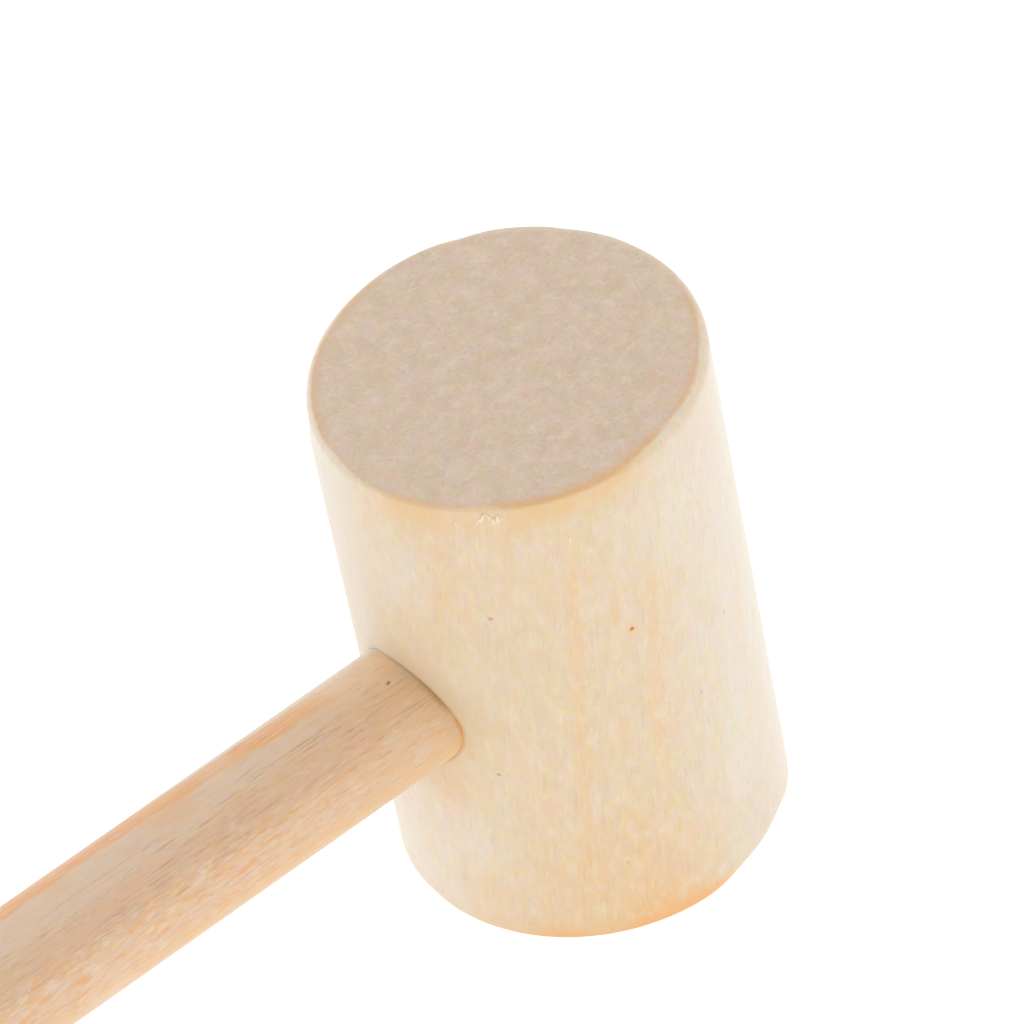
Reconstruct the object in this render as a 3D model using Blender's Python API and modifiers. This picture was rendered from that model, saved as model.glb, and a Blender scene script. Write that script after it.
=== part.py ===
"""A small round-headed wooden mallet: a turned head, a handle that runs right through it, and the wedge that
spreads the handle's end in the head's bore.

Metres, +Z up. The head stands on its lower striking face, the centre of which is the origin, and its axis is
+Z. The handle leaves the head along -X and ends in the butt. Its other end, the tenon, is dressed flush with
the head's side at +X, where the wedge shows edge on. Nothing on the mallet moves.
"""

import math

import bmesh
import bpy
from mathutils import Matrix

# Head
HEAD_RADIUS = 0.020
HEAD_LENGTH = 0.060
RIM_RADIUS = 0.0006  # the rounding between each striking face and the side

# Handle
HANDLE_RADIUS = 0.0067
HANDLE_REACH = 0.150  # from the head's side to the butt
HANDLE_HEIGHT = 0.0288  # the handle's axis over the lower striking face, a little under the head's middle
HANDLE_OFFSET = -0.0013  # the bore passes this far to one side of the head's axis
BUTT_RADIUS = 0.0012  # the rounding round the butt

# Wedge, with its width along Y and its thickness along Z: it spreads the tenon along the head's grain
WEDGE_LENGTH = 0.020
WEDGE_THICK_END = 0.0022
WEDGE_THIN_END = 0.0007
KERF_ROOM = 0.002  # the saw cut runs this far past the wedge's thin end

FIT_GAP = 0.0003  # between pieces that touch
CUTTER_MARGIN = 0.003  # how far a cutter reaches past what it cuts

HEAD_STEPS = 128
HANDLE_STEPS = 96
ROUNDING_STEPS = 4
SHARP_ANGLE = math.radians(32)

PARTS = "wooden_mallet"
CUTTERS = "wooden_mallet_cutters"


def clear_scene():
    for obj in list(bpy.data.objects):
        bpy.data.objects.remove(obj)


def new_collection(name):
    collection = bpy.data.collections.new(name)
    bpy.context.scene.collection.children.link(collection)
    return collection


def wood(name, colour, roughness):
    material = bpy.data.materials.new(name)
    material.use_nodes = True
    shader = material.node_tree.nodes["Principled BSDF"]
    shader.inputs["Base Color"].default_value = (*colour, 1.0)
    shader.inputs["Roughness"].default_value = roughness
    shader.inputs["Metallic"].default_value = 0.0
    return material


def object_from(builder, name, collection):
    """An object holding a bmesh's shape, in one of the two collections."""
    mesh = bpy.data.meshes.new(name)
    builder.to_mesh(mesh)
    builder.free()
    obj = bpy.data.objects.new(name, mesh)
    bpy.data.collections[collection].objects.link(obj)
    if collection == CUTTERS:
        obj.hide_render = True
        obj.display_type = "WIRE"
    return obj


def rounding(radius, z, rim, towards_top):
    """The profile points of a quarter circle of radius rim between an end face at height z and a side at radius."""
    points = []
    for step in range(ROUNDING_STEPS + 1):
        angle = math.pi / 2 * step / ROUNDING_STEPS
        if towards_top:
            points.append((radius - rim + rim * math.sin(angle), z - rim + rim * math.cos(angle)))
        else:
            points.append((radius - rim + rim * math.cos(angle), z + rim - rim * math.sin(angle)))
    return points


def turned(name, profile, steps):
    """A turned piece about Z, from the half profile of (radius, height) points that runs from its top to its foot."""
    builder = bmesh.new()
    verts = [builder.verts.new((radius, 0.0, height)) for radius, height in profile]
    for upper, lower in zip(verts, verts[1:]):
        builder.edges.new((upper, lower))
    obj = object_from(builder, name, PARTS)
    screw = obj.modifiers.new("turning", "SCREW")
    screw.axis = "Z"
    screw.angle = math.tau
    screw.steps = steps
    screw.render_steps = steps
    screw.use_merge_vertices = True
    screw.merge_threshold = 0.00001
    return obj


def cylinder_cutter(name, radius, length, steps, matrix):
    builder = bmesh.new()
    bmesh.ops.create_cone(
        builder,
        cap_ends=True,
        segments=steps,
        radius1=radius,
        radius2=radius,
        depth=length,
        matrix=matrix,
    )
    return object_from(builder, name, CUTTERS)


def tapered_plate(name, collection, thin, thick, width, x_thin, x_thick):
    """A plate that thickens along +X from thin at x_thin to thick at x_thick, centred on the handle's axis."""
    builder = bmesh.new()
    bmesh.ops.create_cube(builder, size=1.0)
    for vert in builder.verts:
        at_thick_end = vert.co.x > 0
        vert.co.x = x_thick if at_thick_end else x_thin
        vert.co.y = vert.co.y * width + HANDLE_OFFSET
        vert.co.z = vert.co.z * (thick if at_thick_end else thin) + HANDLE_HEIGHT
    return object_from(builder, name, collection)


def boolean(obj, operation, other):
    modifier = obj.modifiers.new(f"{operation.lower()}_{other.name}", "BOOLEAN")
    modifier.operation = operation
    modifier.object = other
    modifier.solver = "EXACT"


def finish(obj, material):
    """Keeps the piece's evaluated shape as its mesh, with round faces smooth and edges crisp."""
    graph = bpy.context.evaluated_depsgraph_get()
    mesh = bpy.data.meshes.new_from_object(obj.evaluated_get(graph))
    mesh.name = obj.name
    obj.modifiers.clear()
    obj.data = mesh
    mesh.materials.clear()
    mesh.materials.append(material)
    mesh.shade_smooth()
    mesh.set_sharp_from_angle(angle=SHARP_ANGLE)


def along_handle():
    """Turns the Z axis of a cylinder onto the handle's axis, with +Z towards the butt."""
    place = Matrix.Translation((0.0, HANDLE_OFFSET, HANDLE_HEIGHT))
    return place @ Matrix.Rotation(-math.pi / 2, 4, "Y")


def make_cutters():
    """The bore, the tenon's own envelope, the space outside the head that the flush end is dressed to, and the kerf."""
    through = 2 * (HEAD_RADIUS + CUTTER_MARGIN)
    bore = cylinder_cutter("bore", HANDLE_RADIUS + FIT_GAP, through, HANDLE_STEPS, along_handle())
    envelope = cylinder_cutter("tenon_envelope", HANDLE_RADIUS, through, HANDLE_STEPS, along_handle())

    middle = Matrix.Translation((0.0, 0.0, HEAD_LENGTH / 2))
    head_space = cylinder_cutter("head_space", HEAD_RADIUS, HEAD_LENGTH, HEAD_STEPS, middle)
    block = bmesh.new()
    bmesh.ops.create_cube(block, size=1.0)
    block_side = 2 * (HANDLE_RADIUS + CUTTER_MARGIN)
    block_matrix = Matrix.Translation((HEAD_RADIUS, HANDLE_OFFSET, HANDLE_HEIGHT))
    bmesh.ops.transform(
        block,
        matrix=block_matrix @ Matrix.Diagonal((HEAD_RADIUS, block_side, block_side, 1.0)),
        verts=block.verts,
    )
    outside = object_from(block, "outside_head", CUTTERS)
    boolean(outside, "DIFFERENCE", head_space)

    slope = (WEDGE_THICK_END - WEDGE_THIN_END) / WEDGE_LENGTH
    kerf = tapered_plate(
        "kerf",
        CUTTERS,
        thin=WEDGE_THIN_END - slope * KERF_ROOM + 2 * FIT_GAP,
        thick=WEDGE_THICK_END + slope * CUTTER_MARGIN + 2 * FIT_GAP,
        width=2 * (HANDLE_RADIUS + CUTTER_MARGIN),
        x_thin=HEAD_RADIUS - WEDGE_LENGTH - KERF_ROOM,
        x_thick=HEAD_RADIUS + CUTTER_MARGIN,
    )
    return bore, envelope, outside, kerf


def make_head(bore):
    profile = [(0.0, HEAD_LENGTH)]
    profile += rounding(HEAD_RADIUS, HEAD_LENGTH, RIM_RADIUS, towards_top=True)
    profile += rounding(HEAD_RADIUS, 0.0, RIM_RADIUS, towards_top=False)
    profile += [(0.0, 0.0)]
    head = turned("head", profile, HEAD_STEPS)
    boolean(head, "DIFFERENCE", bore)
    finish(head, wood("head_wood", (0.80, 0.64, 0.44), 0.62))


def make_handle(outside, kerf):
    butt = HEAD_RADIUS + HANDLE_REACH
    tenon_end = -(HEAD_RADIUS + CUTTER_MARGIN)
    profile = [(0.0, butt)]
    profile += rounding(HANDLE_RADIUS, butt, BUTT_RADIUS, towards_top=True)
    profile += [(HANDLE_RADIUS, tenon_end), (0.0, tenon_end)]
    handle = turned("handle", profile, HANDLE_STEPS)
    handle.matrix_world = along_handle()
    boolean(handle, "DIFFERENCE", outside)
    boolean(handle, "DIFFERENCE", kerf)
    finish(handle, wood("handle_wood", (0.68, 0.46, 0.27), 0.55))


def make_wedge(envelope, outside):
    slope = (WEDGE_THICK_END - WEDGE_THIN_END) / WEDGE_LENGTH
    wedge = tapered_plate(
        "wedge",
        PARTS,
        thin=WEDGE_THIN_END,
        thick=WEDGE_THICK_END + slope * CUTTER_MARGIN,
        width=2 * (HANDLE_RADIUS + CUTTER_MARGIN),
        x_thin=HEAD_RADIUS - WEDGE_LENGTH,
        x_thick=HEAD_RADIUS + CUTTER_MARGIN,
    )
    boolean(wedge, "INTERSECT", envelope)
    boolean(wedge, "DIFFERENCE", outside)
    finish(wedge, wood("wedge_wood", (0.42, 0.24, 0.12), 0.60))


def main():
    clear_scene()
    new_collection(PARTS)
    new_collection(CUTTERS)
    bore, envelope, outside, kerf = make_cutters()
    make_head(bore)
    make_handle(outside, kerf)
    make_wedge(envelope, outside)


main()
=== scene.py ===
import math

import bmesh
import bpy
from mathutils import Matrix, Vector, noise


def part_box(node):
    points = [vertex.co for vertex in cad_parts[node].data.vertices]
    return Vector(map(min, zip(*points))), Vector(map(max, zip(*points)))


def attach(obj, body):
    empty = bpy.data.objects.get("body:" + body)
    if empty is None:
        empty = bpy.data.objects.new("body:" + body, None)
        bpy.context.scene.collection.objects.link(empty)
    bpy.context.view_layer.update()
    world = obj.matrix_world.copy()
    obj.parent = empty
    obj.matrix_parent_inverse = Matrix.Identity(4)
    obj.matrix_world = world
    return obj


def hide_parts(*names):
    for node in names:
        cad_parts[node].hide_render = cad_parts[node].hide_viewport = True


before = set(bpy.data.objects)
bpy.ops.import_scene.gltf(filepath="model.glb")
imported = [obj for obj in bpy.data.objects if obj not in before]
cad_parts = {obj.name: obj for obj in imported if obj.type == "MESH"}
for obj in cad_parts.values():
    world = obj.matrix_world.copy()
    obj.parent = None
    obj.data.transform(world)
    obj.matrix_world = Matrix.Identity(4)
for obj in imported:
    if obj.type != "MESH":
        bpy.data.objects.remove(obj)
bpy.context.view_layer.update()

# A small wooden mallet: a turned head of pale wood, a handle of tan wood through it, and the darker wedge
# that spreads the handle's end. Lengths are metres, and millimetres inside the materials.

MM = 0.001

# ---- Measures read from the frame ----

HEAD_LOW, HEAD_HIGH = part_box("head")
HANDLE_LOW, HANDLE_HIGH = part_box("handle")
WEDGE_LOW, WEDGE_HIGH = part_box("wedge")

HEAD_RADIUS = (HEAD_HIGH.x - HEAD_LOW.x) / 2
HEAD_LENGTH = HEAD_HIGH.z - HEAD_LOW.z
HANDLE_RADIUS = (HANDLE_HIGH.z - HANDLE_LOW.z) / 2
HANDLE_Y = (HANDLE_HIGH.y + HANDLE_LOW.y) / 2
HANDLE_Z = (HANDLE_HIGH.z + HANDLE_LOW.z) / 2
BUTT_X = HANDLE_LOW.x
WEDGE_TIP_X = WEDGE_LOW.x
WEDGE_THICK = WEDGE_HIGH.z - WEDGE_LOW.z

# The same in millimetres, for the materials.
HEAD_R_MM = HEAD_RADIUS / MM
HEAD_HALF_MM = HEAD_LENGTH / MM / 2
HANDLE_R_MM = HANDLE_RADIUS / MM
AXIS_Y_MM, AXIS_Z_MM = HANDLE_Y / MM, HANDLE_Z / MM
BUTT_X_MM = BUTT_X / MM

# ---- Sizes of the fine shape ----

SKIN = 0.01 * MM  # the fine surfaces stay this far inside the plain solids
RIM = 0.3 * MM  # rounding of the striking faces' rims, before wear and knocks
BORE_GAP = 0.004 * MM  # radial room round the tenon
BORE_SLACK = 0.07 * MM  # more room over the top and front, where the bore was drilled wide
SLACK_CENTRE, SLACK_SPREAD = 60.0, 34.0  # in degrees from -Y over the top
NECK_DEPTH = 0.62 * MM  # how much the handle is thinned on one side, where it enters the head
NECK_CENTRE = 62.0  # the thinned side's middle, in degrees from -Y over the top
NECK_EDGE = 0.45  # the cosine of the angle from its middle to its edges
NECK_START, NECK_FULL = -34.0 * MM, -21.0 * MM  # where the thinning begins and is complete
BUTT_ROUND = 1.3 * MM  # rounding round the butt
WEDGE_TIP_THICK = 0.7 * MM
KERF_ROOM = 0.05 * MM  # between the wedge and each wall of its kerf


def fractal(x, y, z):
    """Smooth noise of about -1 to 1 at a point."""
    return noise.fractal(Vector((x, y, z)), 1.0, 2.0, 3)


def compass(degrees):
    """The level direction at this angle from +X towards +Y."""
    angle = math.radians(degrees)
    return Vector((math.cos(angle), math.sin(angle), 0.0))


def smoothstep(low, high, value):
    """0 at low, 1 at high, and smooth between. low may be the larger."""
    t = min(max((value - low) / (high - low), 0.0), 1.0)
    return t * t * (3.0 - 2.0 * t)


# ---- Mesh helpers ----


def spaced(start, end, count):
    """count points from start to end, both included."""
    return [start + (end - start) * i / (count - 1) for i in range(count)]


def spin_profile(profile, steps):
    """A solid of revolution about Z from (radius, height) points, the first and last on the axis."""
    builder = bmesh.new()
    verts = [builder.verts.new((radius, 0.0, height)) for radius, height in profile]
    edges = [builder.edges.new(pair) for pair in zip(verts, verts[1:])]
    geom, axis = verts + edges, (0.0, 0.0, 1.0)
    bmesh.ops.spin(builder, geom=geom, axis=axis, angle=math.tau, steps=steps, use_merge=True)
    bmesh.ops.remove_doubles(builder, verts=builder.verts, dist=0.002 * MM)
    bmesh.ops.recalc_face_normals(builder, faces=builder.faces)
    return builder


def object_from(builder, name):
    mesh = bpy.data.meshes.new(name)
    builder.to_mesh(mesh)
    builder.free()
    obj = bpy.data.objects.new(name, mesh)
    bpy.context.scene.collection.objects.link(obj)
    return obj


def cut(obj, cutter):
    """Takes the cutter's shape out of the object's mesh and removes the cutter."""
    modifier = obj.modifiers.new("cut", "BOOLEAN")
    modifier.operation = "DIFFERENCE"
    modifier.solver = "EXACT"
    modifier.object = cutter
    bpy.context.view_layer.update()
    graph = bpy.context.evaluated_depsgraph_get()
    mesh = bpy.data.meshes.new_from_object(obj.evaluated_get(graph))
    obj.modifiers.clear()
    obj.data = mesh
    mesh.name = obj.name
    bpy.data.objects.remove(cutter)


def dress(obj, material, node, sharp=38):
    """Gives a finished piece its material and smooth shading, hangs it from the root body and hides the
    frame's part that it replaces, if one is given.
    """
    obj.data.materials.clear()
    obj.data.materials.append(material)
    obj.data.shade_smooth()
    obj.data.set_sharp_from_angle(angle=math.radians(sharp))
    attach(obj, "root")
    if node:
        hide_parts(node)


# ---- Node helper ----


class Wood:
    """One material's nodes, with a short call for each kind of node. Coordinates are millimetres."""

    def __init__(self, name):
        self.material = bpy.data.materials.new(name)
        self.material.use_nodes = True
        self.tree = self.material.node_tree
        self.tree.nodes.clear()
        output = self.node("OutputMaterial")
        self.shader = self.node("BsdfPrincipled")
        self.put(output.inputs["Surface"], self.shader.outputs[0])
        self.mm = self.scaled(self.node("TexCoord").outputs["Object"], (1000.0, 1000.0, 1000.0))
        self.x, self.y, self.z = self.split(self.mm)

    def put(self, socket, value):
        if isinstance(value, bpy.types.NodeSocket):
            self.tree.links.new(value, socket)
        else:
            socket.default_value = value

    def node(self, kind, *inputs, **settings):
        """A new node with these settings, and these values for its first inputs."""
        node = self.tree.nodes.new("ShaderNode" + kind)
        for name, setting in settings.items():
            setattr(node, name, setting)
        for socket, value in zip(node.inputs, inputs):
            self.put(socket, value)
        return node

    def math(self, operation, a, b=0.0, clamp=False):
        return self.node("Math", a, b, operation=operation, use_clamp=clamp).outputs[0]

    def add(self, total, *others):
        for other in others:
            total = self.math("ADD", total, other)
        return total

    def times(self, product, *others):
        for other in others:
            product = self.math("MULTIPLY", product, other)
        return product

    def inverse(self, value):
        """1 where the value is 0, and 0 where it is 1."""
        return self.add(self.times(value, -1.0), 1.0)

    def vector(self, operation, a, b=(0.0, 0.0, 0.0)):
        node = self.node("VectorMath", a, b, operation=operation)
        return node.outputs["Value" if operation in ("LENGTH", "DOT_PRODUCT", "DISTANCE") else "Vector"]

    def scaled(self, vector, scale):
        return self.vector("MULTIPLY", vector, scale)

    def turned(self, vector, angles, scale):
        """The vector turned by Euler angles in degrees, then scaled."""
        node = self.node("VectorRotate", vector, rotation_type="EULER_XYZ")
        node.inputs["Rotation"].default_value = [math.radians(a) for a in angles]
        return self.scaled(node.outputs[0], scale)

    def split(self, vector):
        return tuple(self.node("SeparateXYZ", vector).outputs)

    def join(self, x, y, z):
        return self.node("CombineXYZ", x, y, z).outputs[0]

    def moved(self, offset):
        """The place with an offset, so that two like patterns don't coincide."""
        return self.vector("ADD", self.mm, offset)

    def noise_node(self, vector, scale, detail, rough):
        return self.node("TexNoise", vector, 0.0, scale, detail, rough)

    def noise(self, vector, scale, detail=3.0, rough=0.6):
        """Noise of about 0.2 to 0.8. scale is in cycles per millimetre, for all axes or for each."""
        if isinstance(scale, tuple):
            vector = self.scaled(vector, scale)
            scale = 1.0
        return self.noise_node(vector, scale, detail, rough).outputs["Fac"]

    def drift(self, vector, scale, detail=3.0, rough=0.6):
        """Noise of about -0.3 to 0.3."""
        return self.add(self.noise(vector, scale, detail, rough), -0.5)

    def step(self, value, low, high, to_low=0.0, to_high=1.0):
        """to_low below low, to_high above high, and smooth between. low may be the larger."""
        if not isinstance(low, bpy.types.NodeSocket) and low > high:
            low, high, to_low, to_high = high, low, to_high, to_low
        inputs = value, low, high, to_low, to_high
        return self.node("MapRange", *inputs, interpolation_type="SMOOTHSTEP").outputs["Result"]

    def mix(self, share, a, b, blend="MIX"):
        node = self.node("Mix", share, data_type="RGBA", blend_type=blend)
        self.put(node.inputs[6], (*a, 1.0) if isinstance(a, tuple) else a)
        self.put(node.inputs[7], (*b, 1.0) if isinstance(b, tuple) else b)
        return node.outputs[2]

    def paint(self, colour, tint, *shares):
        """Mixes the tint in by the product of the shares."""
        return self.mix(self.times(*shares), colour, tint)

    def shade(self, colour, share, factor):
        """The colour with its brightness multiplied by factor, where share is 1."""
        return self.mix(share, colour, (factor, factor, factor), "MULTIPLY")

    def dapple(self, colour, pattern, low, high, strength, tint):
        """Mixes the tint in as the pattern goes from low to high, up to the strength."""
        return self.mix(self.step(pattern, low, high, 0.0, strength), colour, tint)

    def bump(self, height, strength, distance_mm):
        node = self.node("Bump", strength, distance_mm * MM)
        self.put(node.inputs["Height"], height)
        return node.outputs[0]

    def growth_rings(self, across, spacing, sharp):
        """Rises to 1 in each ring's late wood, which ends abruptly."""
        place = self.math("FRACT", self.times(across, 1.0 / spacing))
        return self.times(self.step(place, sharp, 0.93), self.step(place, 1.0, 0.95))

    def tinted(self, colour, scale, strengths):
        """Lets red, green and blue wander apart, each by its own strength."""
        pattern = self.noise_node(self.scaled(self.mm, scale), 1.0, 4.0, 0.75).outputs["Color"]
        wander = self.scaled(self.vector("ADD", pattern, (-0.5, -0.5, -0.5)), strengths)
        return self.vector("MULTIPLY", colour, self.vector("ADD", wander, (1.0, 1.0, 1.0)))

    def off(self, place):
        """Distance from a place, in millimetres."""
        return self.vector("DISTANCE", self.mm, place)

    def off_line(self, start, end):
        """Distance from the straight line between two points, in millimetres."""
        start, run = Vector(start), Vector(end) - Vector(start)
        off = self.vector("SUBTRACT", self.mm, tuple(start))
        along = self.vector("DOT_PRODUCT", off, tuple(run))
        place = self.math("DIVIDE", along, run.length_squared, clamp=True)
        nearest = self.scaled(self.join(place, place, place), tuple(run))
        return self.vector("DISTANCE", off, nearest)

    def patches(self, colour, patches, core):
        """Paints round patches: (place, radius, colour, strength). The core's share of each is even."""
        for place, radius, tint, strength in patches:
            colour = self.dapple(colour, self.off(place), radius, radius * core, strength, tint)
        return colour

    def finish(self, colour, roughness, normal, sheen=0.0):
        looks = {"Base Color": colour, "Roughness": roughness, "Normal": normal}
        looks |= {"Specular IOR Level": 0.3, "Sheen Weight": sheen, "Sheen Roughness": 0.5}
        for name, value in looks.items():
            self.put(self.shader.inputs[name], value)
        return self.material


# ---- Materials ----

SPOT_CORE = 0.4  # the share of a small spot's radius that is painted at full strength
RUB_CORE = 0.1  # the same for a soft patch

HEAD_PITH = (46.0, 30.0)  # where the tree's centre was, from the head's axis
FRONT = Vector((-0.52, -0.85, 0.0))  # the side of the head that faces the camera, which the warm heartwood reaches
GRAIN_LEAN = 0.11  # how far the head's grain leans sideways for each unit of height
# Small marks on the head's side: (place, radius, colour, strength)
HEAD_SPOTS = (
    ((-4, -19.6, 39.9), 0.7, (0.8, 0.48, 0.18), 0.8),  # a pin knot and its halo
    ((-4, -19.6, 39.9), 0.3, (0.28, 0.12, 0.02), 0.92),
    ((-15.3, -12.8, 45.3), 0.34, (0.62, 0.22, 0.14), 0.75),
    ((-18.3, -8.1, 27), 1.3, (0.73, 0.42, 0.18), 0.45),  # painted warm shade where the handle enters, as are the next two
    ((-18.5, -7.9, 28.6), 0.55, (0.3, 0.14, 0.05), 0.75),
    ((-18.2, -8.3, 25.4), 0.9, (0.74, 0.44, 0.2), 0.5),
    ((-16.9, -10.7, 23.3), 0.3, (0.42, 0.26, 0.12), 0.75),
    ((-8.8, -18, 9.5), 0.32, (0.66, 0.28, 0.16), 0.45),
    ((7.5, -18.5, 32.8), 0.34, (0.5, 0.38, 0.26), 0.55),
    ((2.4, -19.9, 26.5), 0.34, (0.5, 0.38, 0.26), 0.6),
    ((-9.5, -17.6, 34.6), 0.24, (0.6, 0.34, 0.18), 0.5),
    ((9.2, 17.8, 44.1), 0.34, (0.2, 0.1, 0.04), 0.9),
    ((-2.5, 19.8, 17.3), 0.3, (0.5, 0.26, 0.12), 0.7),
    ((17.6, 9.5, 12.6), 0.3, (0.42, 0.22, 0.1), 0.7),
    ((18.8, -6.9, 50.4), 0.26, (0.4, 0.22, 0.1), 0.7),
)
# Warm streaks along the grain there: (angle in degrees, half width, lower end, upper end, strength)
HEAD_STREAKS = (
    (-121.5, 0.9, 3, 57, 0.6),
    (-98.5, 1.1, 12, 54, 0.65),
    (-109.5, 0.7, 4, 50, 0.5),
    (-93, 0.5, 30, 59, 0.35),
    (-115, 0.5, 1, 22, 0.4),
    (-131, 1.1, 2, 26, 0.4),
    (-158, 2.6, 40, 62, 0.5),
    (-60, 1.2, 6, 44, 0.25),
    (-24, 1.6, 16, 58, 0.6),
    (34, 1.1, 4, 40, 0.65),
    (73, 1.8, 22, 60, 0.6),
    (128, 1.3, 6, 46, 0.65),
)
STREAK_FADE = 9.0  # a streak fades in and out over this length
YELLOW_RUB_AND_SHADE = (0.715, 0.48, 0.245)
ORANGE_RUB = (0.8, 0.43, 0.15)
PALE_RUB = (0.735, 0.67, 0.56)
TAN_RUB = (0.66, 0.535, 0.39)
# Soft patches there, one of them painted shade above the joint: (place, radius, colour, strength)
HEAD_RUBS_AND_SHADE = (
    ((-9, -17.9, 5), 15, YELLOW_RUB_AND_SHADE, 0.75),
    ((-7, -18.7, 13), 8, YELLOW_RUB_AND_SHADE, 0.35),
    ((-6, -19.1, -1), 8, ORANGE_RUB, 1),
    ((-14.6, -13.6, -1.2), 4, ORANGE_RUB, 0.45),
    # painted warm shade above the joint
    ((-19.6, -4, 40), 9, YELLOW_RUB_AND_SHADE, 0.65),
    ((-19.3, -5.2, 58), 9, YELLOW_RUB_AND_SHADE, 0.6),
    ((-19.9, -1.4, 52), 6.5, YELLOW_RUB_AND_SHADE, 0.3),
    ((-19.3, -5.2, 20), 6, YELLOW_RUB_AND_SHADE, 0.55),
    ((-18.8, -6.8, 5), 6.5, YELLOW_RUB_AND_SHADE, 0.5),
    ((-19.8, 2.8, 6), 8, PALE_RUB, 0.5),
    ((2, -19.9, 50), 9, PALE_RUB, 0.22),
    ((8.5, -18.1, 5), 9.5, TAN_RUB, 0.62),
    ((-12.5, -15.6, 59), 7, YELLOW_RUB_AND_SHADE, 0.35),
    ((17, 10.5, 1), 9, YELLOW_RUB_AND_SHADE, 0.6),
    ((-4, 19.6, 58), 10, YELLOW_RUB_AND_SHADE, 0.5),
    ((19, 6, 30), 9, YELLOW_RUB_AND_SHADE, 0.3),
)
# Where the striking faces' corners are worn orange: (angle in degrees, end, radius, strength).
# Here and below, end is 1 for the upper face and -1 for the lower one.
RIM_WEAR = (
    (-118, 1, 8.5, 1),
    (-101, 1, 5, 0.95),
    (-86, 1, 5, 1),
    (-57, 1, 6, 0.75),
    (-28, 1, 6, 0.6),
    (-154, 1, 7, 0.5),
    (152, 1, 7, 0.6),
    (130, 1, 7, 0.6),
    (103, 1, 6, 0.65),
    (-108, -1, 7, 1),
    (-96, -1, 6, 1),
    (-138, -1, 5, 0.6),
    (8, -1, 9, 0.8),
    (80, -1, 10, 0.7),
    (138, -1, 7, 0.6),
)
# Where the side has worn in towards an end: (angle in degrees, end, half width in degrees, depth)
END_WEAR = (
    (129, 1, 20, 0.22 * MM),
    (95, 1, 30, 0.08 * MM),
    (152, 1, 20, 0.28 * MM),
    (-70, -1, 15, 0.12 * MM),
)
# Knocks on the rims: (angle in degrees, end, half width in degrees, extra rounding)
RIM_KNOCKS = (
    (-75, 1, 20, 0.76 * MM),
    (-40, 1, 20, 0.7 * MM),
    (112, 1, 22, 0.68 * MM),
    (150, 1, 22, 0.64 * MM),
    (174, 1, 8, 0.26 * MM),
    (35, 1, 30, -0.18 * MM),
    (32, 1, 6, 0.2 * MM),
    (63, 1, 6, 0.32 * MM),
    (-134.5, 1, 5, 0.36 * MM),
    (-80, -1, 9, 0.75 * MM),
    (-68, -1, 9, 0.6 * MM),
    (-57, -1, 8, 1 * MM),
    (-134, -1, 32, -0.18 * MM),
    (-184, -1, 7, 0.35 * MM),
    (30, -1, 14, 0.35 * MM),
    (128, -1, 12, 0.3 * MM),
)
BLOOM_CENTRE = -128.0  # where the wood below the upper corner has yellowed, in degrees
BLOOM_GAP = -138.0  # where it has yellowed least
END_SCRATCHES = (17, 48, 83, 112, 147, 171)  # directions on the striking faces, in degrees

# The head's side
CREAM_SHADE, CREAM_LIGHT = (0.688, 0.612, 0.49), (0.712, 0.638, 0.515)  # left and right of the heartwood, paler partly as painted sheen where the side turns from the camera
HEARTWOOD = (0.682, 0.536, 0.355)
PEACH = (0.72, 0.54, 0.392)
STREAK = (0.748, 0.49, 0.245)
LATE_WOOD = (0.72, 0.49, 0.28)
CREAM_BLOTCH = (0.75, 0.65, 0.48)
PINK_BLOTCH, YELLOW_BLOTCH = (0.74, 0.515, 0.345), (0.7, 0.58, 0.355)
DARK_FLECK, PALE_FLECK = (0.62, 0.44, 0.27), (0.78, 0.7, 0.56)

# The striking faces
FELT_TAN, FELT_PINK = (0.582, 0.44, 0.312), (0.622, 0.47, 0.352)
FELT_PALE, FELT_WARM = (0.65, 0.53, 0.395), (0.6, 0.42, 0.305)
FELT_TIP = (0.7, 0.6, 0.47)
SCRATCH = (0.72, 0.62, 0.48)

# The corners, and the painted shade at the mouth of the bore
BLOOM = (0.722, 0.482, 0.222)
RIM_LINE = (0.645, 0.378, 0.182)
SCUFF = (0.79, 0.415, 0.15)
BACK_CORNER = (0.7, 0.62, 0.5)
MOUTH_WARM_SHADE, MOUTH_SHADE, MOUTH_ORANGE_SHADE = (0.64, 0.44, 0.215), (0.42, 0.26, 0.085), (0.7, 0.33, 0.11)
WARM_SHADE_STRENGTH, SHADE_STRENGTH, ORANGE_SHADE_STRENGTH = 0.72, 0.72, 0.75


def rim_point(degrees, end):
    """Where a striking face's corner lies at this angle, in millimetres."""
    x, y, _ = compass(degrees) * HEAD_R_MM
    return (x, y, HEAD_HALF_MM + end * HEAD_HALF_MM)


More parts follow.
